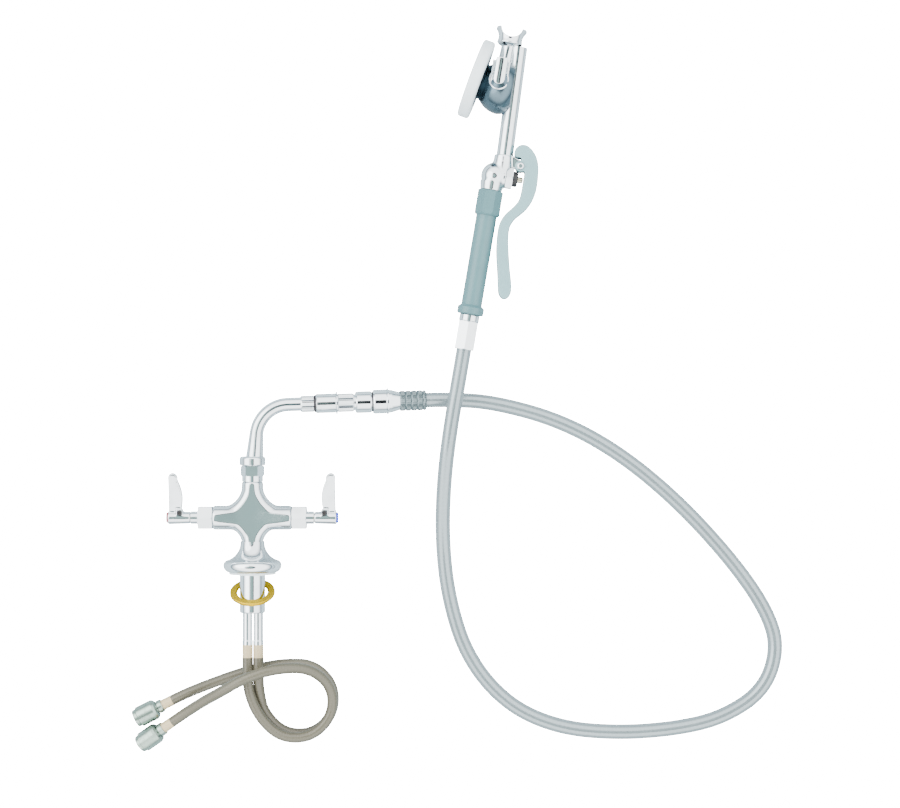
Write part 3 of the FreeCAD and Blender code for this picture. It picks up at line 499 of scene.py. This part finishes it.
def hose_piece(name, points, diameter, sides=32):
    """A hose as a closed tube over the points, with a UV map in metres along it and in turns round it."""
    radius = diameter / 2
    heading = (points[1] - points[0]).normalized()
    across = heading.cross(Vector((0, 0, 1))).normalized()
    verts, distance, lengths = [], 0.0, []
    for i, point in enumerate(points):
        ahead = points[min(i + 1, len(points) - 1)] - points[max(i - 1, 0)]
        across = heading.rotation_difference(ahead.normalized()) @ across
        heading = ahead.normalized()
        across = (across - heading * across.dot(heading)).normalized()
        upright = heading.cross(across)
        if i:
            distance += (point - points[i - 1]).length
        lengths.append(distance)
        for j in range(sides):
            angle = math.tau * j / sides
            verts.append(point + (across * math.cos(angle) + upright * math.sin(angle)) * radius)
    faces, uvs = [], []
    for i in range(len(points) - 1):
        for j in range(sides):
            k = (j + 1) % sides
            faces.append((i * sides + j, i * sides + k, (i + 1) * sides + k, (i + 1) * sides + j))
            low, high = j / sides, (j + 1) / sides
            uvs += [(lengths[i], low), (lengths[i], high), (lengths[i + 1], high), (lengths[i + 1], low)]
    last = (len(points) - 1) * sides
    faces.append(tuple(range(sides)))
    faces.append(tuple(last + j for j in reversed(range(sides))))
    uvs += [(0.0, 0.0)] * sides + [(distance, 0.0)] * sides
    mesh = bpy.data.meshes.new(name)
    mesh.from_pydata(verts, [], faces)
    layer = mesh.uv_layers.new(name="hose_uv")
    for loop, uv in zip(layer.data, uvs):
        loop.uv = uv
    piece = bpy.data.objects.new(name, mesh)
    bpy.context.scene.collection.objects.link(piece)
    pick(piece)
    bpy.ops.object.mode_set(mode="EDIT")
    bpy.ops.mesh.select_all(action="SELECT")
    bpy.ops.mesh.normals_make_consistent(inside=False)
    bpy.ops.object.mode_set(mode="OBJECT")
    return piece


class SPRAYER_OT_camera(bpy.types.Operator):
    """Sets the camera straight above the set"""
    bl_idname = "bath_sprayer.camera"
    bl_label = "Camera"

    def execute(self, context):
        lens = bpy.data.cameras.new("overhead_camera")
        lens.lens = 85.0
        lens.sensor_width = 36.0
        lens.clip_end = 20.0
        camera = bpy.data.objects.new("overhead_camera", lens)
        camera.location = (0.21725, 0.187, context.scene.sprayer_sizes.camera_height)
        context.scene.collection.objects.link(camera)
        context.scene.camera = camera
        return {"FINISHED"}


class SPRAYER_OT_main_hose(bpy.types.Operator):
    """Lays the main hose from the spout's arm round to the hand sprayer"""
    bl_idname = "bath_sprayer.main_hose"
    bl_label = "Main hose"

    def execute(self, context):
        diameter = context.scene.sprayer_sizes.hose_diameter
        points = lie_of("main_hose", MAIN_HOSE_ROUTE)
        hose = hose_piece("braided_hose", points, diameter)
        settle(hose, "hose_vinyl", "main_hose", angle=60)
        return {"FINISHED"}


class SPRAYER_OT_supply_lines(bpy.types.Operator):
    """Lays the two supply lines from the shank round to their end nuts"""
    bl_idname = "bath_sprayer.supply_lines"
    bl_label = "Supply lines"

    def execute(self, context):
        diameter = context.scene.sprayer_sizes.supply_diameter
        for side, line in SUPPLY_LINES.items():
            route = [Vector(place) * MM for place in line["route"]]
            points = lie_of(side + "_supply", route)
            hose = hose_piece(side + "_braided_line", points, diameter, sides=24)
            settle(hose, "supply_braid", side + "_supply_hose", angle=60)
        return {"FINISHED"}


class SPRAYER_OT_stage(bpy.types.Operator):
    """Sets the pale table, the white surround and the soft key light"""
    bl_idname = "bath_sprayer.stage"
    bl_label = "Stage"

    def execute(self, context):
        deselect_all()
        sizes, colours = context.scene.sprayer_sizes, context.scene.sprayer_colours
        bpy.ops.mesh.primitive_plane_add(size=30.0, location=(0.2, 0.1, TABLE_Z - 0.0002))
        table = context.object
        table.name = "table_top"
        bpy.ops.object.transform_apply(location=True, rotation=True, scale=True)
        # Matt paint: pale blue-grey with the faintest clouding.
        material, tree, place = start_material("matt_white_paint")
        cloud = add(tree, "ShaderNodeTexNoise", {"Vector": place, "Scale": 4.0, "Detail": 3.0})
        tint = add(tree, "ShaderNodeMix", {
            MIX_FACTOR: cloud.outputs["Fac"], MIX_A: tuple(colours.floor),
            MIX_B: tuple(c * 0.985 for c in colours.floor[:3]) + (1.0,)}, data_type="RGBA")
        # The table is burnt out to white where it is seen, and stays pale grey in what it lights and in the chrome.
        seen = add(tree, "ShaderNodeLightPath").outputs["Is Camera Ray"]
        burn = add(tree, "ShaderNodeMath", {0: seen, 1: sizes.table_glow}, operation="MULTIPLY")
        shader = add(tree, "ShaderNodeBsdfPrincipled", {
            "Base Color": tint.outputs[MIX_COLOUR], "Roughness": 0.9, "Specular IOR Level": 0.1,
            "Emission Color": (1.0, 1.0, 1.0, 1.0), "Emission Strength": burn.outputs["Value"]})
        table.data.materials.append(finish_material(material, shader))

        world = bpy.data.worlds.new("studio_surround")
        context.scene.world = world
        world.use_nodes = True
        tree = world.node_tree
        tree.nodes.clear()
        # A white surround that falls off to blue-grey near the table. Overhead is a round opening with a black rim
        # and a grey-green room behind it. Seen directly, beyond the table, the surround is plain white.
        toward = add(tree, "ShaderNodeTexCoord").outputs["Generated"]
        height = add(tree, "ShaderNodeSeparateXYZ", {"Vector": toward}).outputs["Z"]
        centre = add(tree, "ShaderNodeVectorMath", {
            0: toward, 1: OPENING_CENTRE}, operation="DOT_PRODUCT").outputs["Value"]
        rise = add(tree, "ShaderNodeMapRange", {
            "Value": height, "From Min": 0.0, "From Max": 0.55}, interpolation_type="SMOOTHSTEP")
        paper = add(tree, "ShaderNodeMix", {
            MIX_FACTOR: rise.outputs["Result"], MIX_A: linear("#46575f"), MIX_B: linear("#ffffff")}, data_type="RGBA")
        rim = add(tree, "ShaderNodeMapRange", {"Value": centre, "From Min": 0.920, "From Max": 0.932})
        room = add(tree, "ShaderNodeMapRange", {"Value": centre, "From Min": 0.968, "From Max": 0.976})
        opening = add(tree, "ShaderNodeMix", {
            MIX_FACTOR: room.outputs["Result"], MIX_A: linear("#07090a"), MIX_B: linear("#647775")},
            data_type="RGBA")
        sky = add(tree, "ShaderNodeMix", {
            MIX_FACTOR: rim.outputs["Result"], MIX_A: paper.outputs[MIX_COLOUR],
            MIX_B: opening.outputs[MIX_COLOUR]}, data_type="RGBA")
        reflected = add(tree, "ShaderNodeBackground", {
            "Color": sky.outputs[MIX_COLOUR], "Strength": sizes.dome_light})
        direct = add(tree, "ShaderNodeBackground", {
            "Color": (1.0, 1.0, 1.0, 1.0), "Strength": sizes.table_glow})
        surround = add(tree, "ShaderNodeMixShader", {
            0: add(tree, "ShaderNodeLightPath").outputs["Is Camera Ray"],
            1: reflected.outputs["Background"], 2: direct.outputs["Background"]})
        add(tree, "ShaderNodeOutputWorld", {"Surface": surround.outputs["Shader"]})

        lamp = bpy.data.lights.new("soft_key", "AREA")
        lamp.shape = "DISK"
        lamp.size = 2.6
        lamp.energy = sizes.key_light
        key = bpy.data.objects.new("soft_key", lamp)
        key.location = (-1.4, 0.6, 1.8)
        key.rotation_euler = (Vector((0.2, 0.1, 0.0)) - key.location).to_track_quat("-Z", "Y").to_euler()
        context.scene.collection.objects.link(key)
        return {"FINISHED"}


class SPRAYER_OT_finishes(bpy.types.Operator):
    """Makes every finish and puts it on the CAD nodes"""
    bl_idname = "bath_sprayer.finishes"
    bl_label = "Finishes"

    def execute(self, context):
        FINISHES.update(make_finishes(context.scene.sprayer_colours))
        for subpart in frame["record"]["subparts"]:
            dress(NODES[subpart["node"]], subpart["material_slot"])
        # The spray housing takes the darker chrome, painted shade for the shadow inside the head.
        dress(NODES["spray_housing"], "polished_chrome", "chrome_with_painted_shade")
        dress(NODES["deck_gasket"], "black_rubber", "grey_bumper")
        # The valve gland is black in place of brass: painted shade for the deep gap between the bonnet and the lever.
        dress(NODES["valve_gland"], "valve_brass", "black_rubber")
        return {"FINISHED"}


class SPRAYER_OT_castings(bpy.types.Operator):
    """Models the smooth castings: faucet body, handles, valve body, crown, bosses and squeeze lever"""
    bl_idname = "bath_sprayer.castings"
    bl_label = "Castings"

    def execute(self, context):
        body = rounded_copy("faucet_casting", "faucet_body", 0.0009, 24)
        crest, blend, rise_across, rise_along = 0.0103, 0.005, 0.078, 0.042
        for v in body.data.vertices:
            across = math.hypot(v.co.x, blend) - blend
            along = math.hypot(v.co.y - FAUCET_CENTRE_Y, blend) - blend
            top = crest + rise_across * across + rise_along * along
            if abs(v.co.z) > top:
                v.co.z = math.copysign(top + (abs(v.co.z) - top) * 0.08, v.co.z)
        pick(body)
        soften = body.modifiers.new("soften", "SMOOTH")
        soften.factor = 0.5
        soften.iterations = 14
        bpy.ops.object.modifier_apply(modifier="soften")
        settle(body, "polished_chrome", "faucet_body")
        for side in ("hot", "cold"):
            handle = rounded_copy(side + "_lever_handle", side + "_handle", 0.0006, 16)
            # The blade swells inwards, most half way along.
            for v in handle.data.vertices:
                share = (v.co.y - BLADE_FOOT) / BLADE_REACH
                if 0.0 < share < 1.0:
                    inwards = min(1.0, max(0.0, (BLADE_OUTER - abs(v.co.x)) / BLADE_WIDTH))
                    v.co.x -= math.copysign(BLADE_SWELL * inwards * math.sin(math.pi * share), v.co.x)
            settle(handle, "polished_chrome", side + "_handle")
        valve = rounded_copy("valve_casting", "valve_body", 0.0007, 10)
        settle(valve, "polished_chrome", "valve_body")
        crown = rounded_copy("crown_casting", "hanging_crown", 0.0006, 10)
        settle(crown, "polished_chrome", "hanging_crown")
        bosses = rounded_copy("boss_castings", "side_bosses", 0.0005, 8)
        across = Vector((WAND_AXIS.y, -WAND_AXIS.x, 0.0))
        boss_offset, crown_foot, crown_depth, crown_curve = 0.0116, 0.022, 0.009, 0.030
        for v in bosses.data.vertices:
            height = v.co.z - WAND_FOOT.z
            off_centre = (v.co - WAND_FOOT).dot(across) + boss_offset
            if abs(height) > crown_foot:
                share = min(1.0, (abs(height) - crown_foot) / crown_depth)
                v.co.z -= math.copysign(share * off_centre ** 2 / crown_curve, height)
        settle(bosses, "polished_chrome", "side_bosses")
        lever = rounded_copy("squeeze_lever", "trigger_lever", 0.0008, 40)
        settle(lever, "grey_lever", "trigger_lever")
        return {"FINISHED"}


class SPRAYER_OT_threads(bpy.types.Operator):
    """Models the threaded shank, the washer, the clamp screws and the ribbed rings on the arm"""
    bl_idname = "bath_sprayer.threads"
    bl_label = "Threads and ribs"

    def execute(self, context):
        sizes = context.scene.sprayer_sizes
        start, end, radius = span("threaded_shank", Vector((0, 0, 0)), Vector((0, 1, 0)))
        foot_height, cap_height, bore = start, 0.0138, 0.0123
        outline = [(foot_height + 0.0054, bore), (foot_height, bore), (foot_height, radius - 0.0009),
                   (foot_height + 0.0009, radius - 0.0001)]
        height = foot_height + 0.0012
        while height < -0.0002:
            outline.append((height, radius - sizes.thread_depth))
            outline.append((height + sizes.thread_pitch / 2, radius))
            height += sizes.thread_pitch
        outline += [(height, radius - 0.0001), (cap_height, radius - 0.0001)]
        shank = turned_piece("screwed_shank", outline, (0, 0, 0), (0, 1, 0), sides=96)
        settle(shank, "polished_chrome", "threaded_shank", angle=50)

        tilted = Vector((0.0, math.cos(WASHER_LEAN), math.sin(WASHER_LEAN)))
        half, rim, bore = 0.0018, 0.0247, 0.0166
        washer = turned_piece("stamped_washer", [
            (-0.0004, bore), (-half, bore + 0.0012), (-half, rim - 0.0006), (-half + 0.0006, rim),
            (half - 0.0006, rim), (half, rim - 0.0006), (half, bore + 0.0012), (0.0004, bore)],
            WASHER_CENTRE, tilted, sides=96)
        ring_hole(washer, WASHER_CENTRE, tilted, bore)
        settle(washer, "lacquered_brass", "brass_washer", angle=40)

        for side, sign in (("hot", -1), ("cold", 1)):
            low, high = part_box(side + "_handle")
            hub_end = max(abs(low[0]), abs(high[0])) - 0.0002
            foot = Vector((sign * (hub_end - 0.01275), 0.0675, 0.0066))
            screw = turned_piece(side + "_clamp_screw", [
                (0.0, 0.0034), (0.0011, 0.0034), (0.0015, 0.0029), (0.0015, 0.0014), (0.0007, 0.0012)],
                foot, (0, 0, 1), sides=6)
            settle(screw, "black_rubber", body=BODY_OF[side + "_handle"], angle=20)

        for name, node, sides, depth, slot_name in (
                ("crimped_ferrule", "hose_ferrule", 72, 0.0005, "crimped_steel"),
                ("knurled_collar", "knurled_ring", 80, 0.0004, "polished_chrome"),
                ("ribbed_coupling", "arm_coupling", 64, 0.0003, "polished_chrome")):
            low, high, radius = span(node, ARM_FOOT, ARM_AXIS)
            rim = 0.0012
            outline = [(low, radius - 0.0009), (low + rim, radius)]
            if node == "hose_ferrule":
                for share in (0.22, 0.44, 0.66, 0.88):
                    groove = low + (high - low) * share
                    outline += [(groove - 0.0012, radius), (groove - 0.0004, radius - 0.0008),
                                (groove + 0.0004, radius - 0.0008), (groove + 0.0012, radius)]
            outline += [(high - rim, radius), (high, radius - 0.0009)]
            ring = turned_piece(name, outline, ARM_FOOT, ARM_AXIS, sides=sides)
            for v in ring.data.vertices:
                offset = v.co - ARM_FOOT
                height = offset.dot(ARM_AXIS)
                radial = offset - ARM_AXIS * height
                if radial.length < radius - 0.0005:
                    continue
                side = ARM_AXIS.cross(Vector((0, 1, 0))).normalized()
                angle = math.atan2(radial.dot(side), radial.dot(side.cross(ARM_AXIS)))
                if round(angle / math.tau * sides) % 2:
                    v.co -= radial.normalized() * depth
            settle(ring, slot_name, node, angle=20)
        return {"FINISHED"}


OPERATORS = (
    SPRAYER_OT_camera, SPRAYER_OT_finishes, SPRAYER_OT_main_hose, SPRAYER_OT_supply_lines,
    SPRAYER_OT_castings, SPRAYER_OT_threads, SPRAYER_OT_stage,
)


class SPRAYER_PT_panel(bpy.types.Panel):
    """Lists the pieces of the set and the sizes and colours that may be changed."""
    bl_idname = "SPRAYER_PT_panel"
    bl_label = "Bath Sprayer"
    bl_space_type = "VIEW_3D"
    bl_region_type = "UI"
    bl_category = "Bath Sprayer"

    def draw(self, context):
        for group in (context.scene.sprayer_sizes, context.scene.sprayer_colours):
            box = self.layout.box()
            for setting in group.bl_rna.properties:
                if setting.identifier not in ("rna_type", "name"):
                    box.prop(group, setting.identifier)
        for operator in OPERATORS:
            self.layout.operator(operator.bl_idname)


CLASSES = (SprayerSizes, SprayerColours, *OPERATORS, SPRAYER_PT_panel)


def register():
    """Registers the classes and the scene's settings."""
    for cls in CLASSES:
        bpy.utils.register_class(cls)
    bpy.types.Scene.sprayer_sizes = bpy.props.PointerProperty(type=SprayerSizes)
    bpy.types.Scene.sprayer_colours = bpy.props.PointerProperty(type=SprayerColours)


def unregister():
    """Removes the scene's settings and the classes."""
    del bpy.types.Scene.sprayer_colours
    del bpy.types.Scene.sprayer_sizes
    for cls in reversed(CLASSES):
        bpy.utils.unregister_class(cls)


def main():
    """Builds everything in order."""
    register()
    for operator in OPERATORS:
        group, name = operator.bl_idname.split(".")
        getattr(getattr(bpy.ops, group), name)()


if __name__ == "__main__":
    main()
